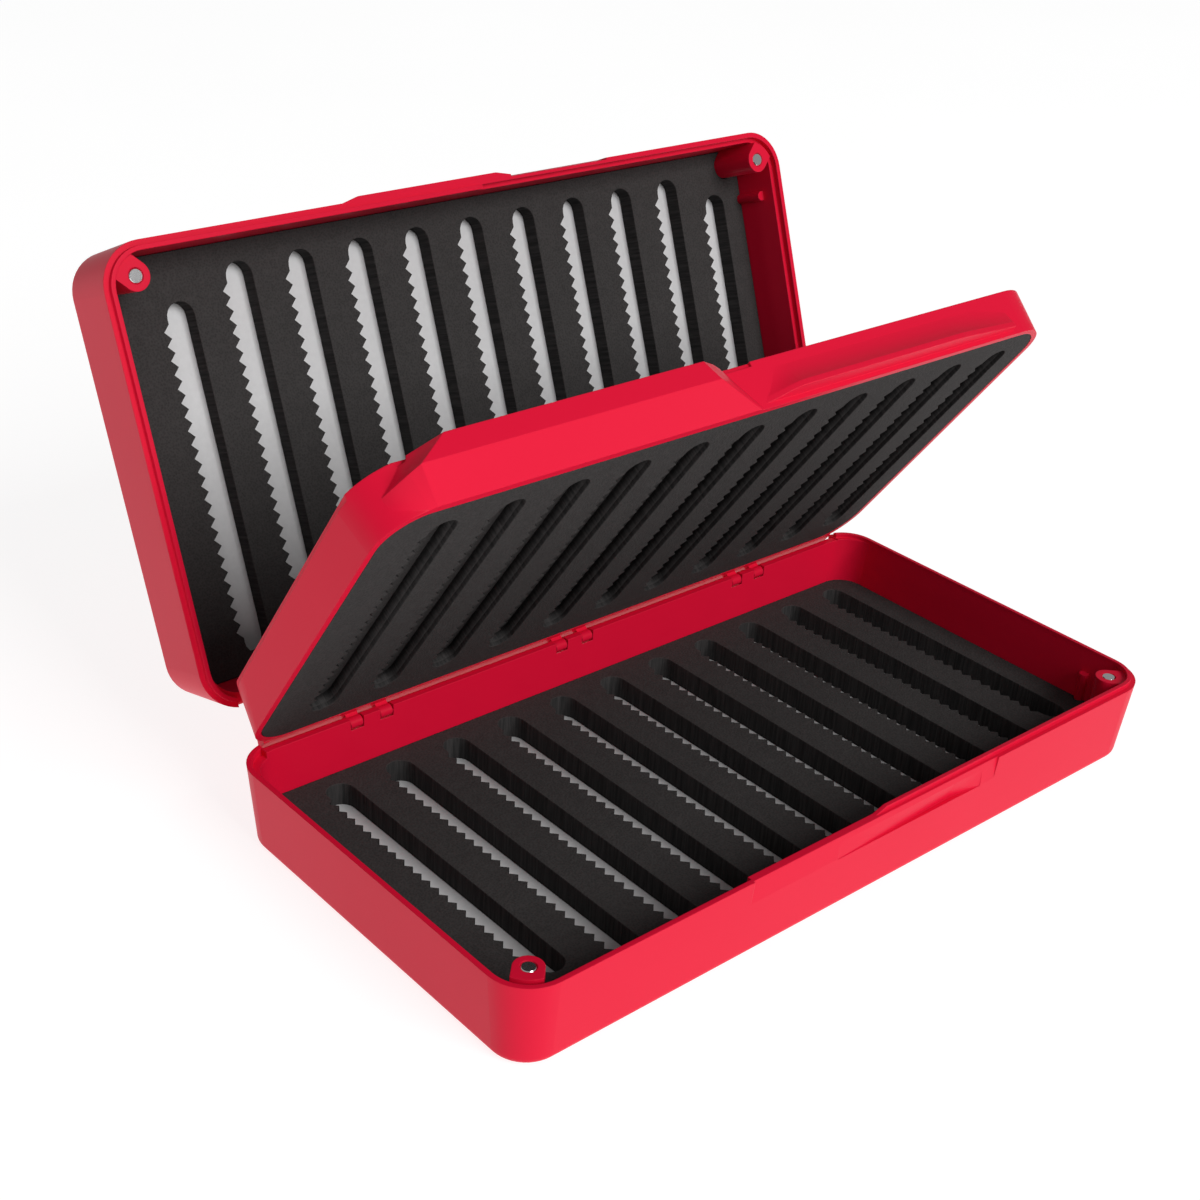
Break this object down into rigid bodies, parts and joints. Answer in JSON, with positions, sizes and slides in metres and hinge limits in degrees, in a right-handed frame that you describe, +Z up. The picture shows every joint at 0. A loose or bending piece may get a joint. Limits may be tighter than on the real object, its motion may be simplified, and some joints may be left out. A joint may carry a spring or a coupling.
{
  "type": "fly fishing box",
  "caption": "Rounded pocket box of three hinged magnetic leaves, each lined with slotted black foam that holds fishing flies.",
  "frame": {"origin": "centre of the tray's underside", "axes": "+X along the hinges to the right as seen from the finger side, +Y towards the hinge side, +Z up"},
  "size_m": [0.16, 0.1317, 0.0993],
  "materials": {
    "red_shell": "satin",
    "black_foam": "fine-grained matt foam",
    "pale_liner": "matt",
    "nickel_magnet": "polished nickel",
    "steel": "smooth"
  },
  "bodies": {
    "tray": {"tray_shell": "red_shell", "tray_foam": "black_foam", "tray_liner": "pale_liner", "tray_magnet_left": "nickel_magnet", "tray_magnet_right": "nickel_magnet", "lower_hinge_pin_left": "steel", "lower_hinge_pin_centre": "steel", "lower_hinge_pin_right": "steel"},
    "middle": {"middle_frame": "red_shell", "middle_foam_lower": "black_foam", "middle_foam_upper": "black_foam", "middle_strike_left": "steel", "middle_strike_right": "steel"},
    "lid": {"lid_shell": "red_shell", "lid_foam": "black_foam", "lid_liner": "pale_liner", "lid_magnet_left": "nickel_magnet", "lid_magnet_right": "nickel_magnet", "upper_hinge_pin_left": "steel", "upper_hinge_pin_centre": "steel", "upper_hinge_pin_right": "steel"}
  },
  "joints": [
    {"name": "lower_hinge", "type": "hinge", "parent": "tray", "child": "middle", "pos_m": [0, 0.0396, 0.01516], "axis": [-1, 0, 0], "range_deg": [-54.24, 35.76]},
    {"name": "upper_hinge", "type": "hinge", "parent": "middle", "child": "lid", "pos_m": [0, 0.0493, 0.02214], "axis": [-1, 0, 0], "range_deg": [-56, 34]}
  ]
}
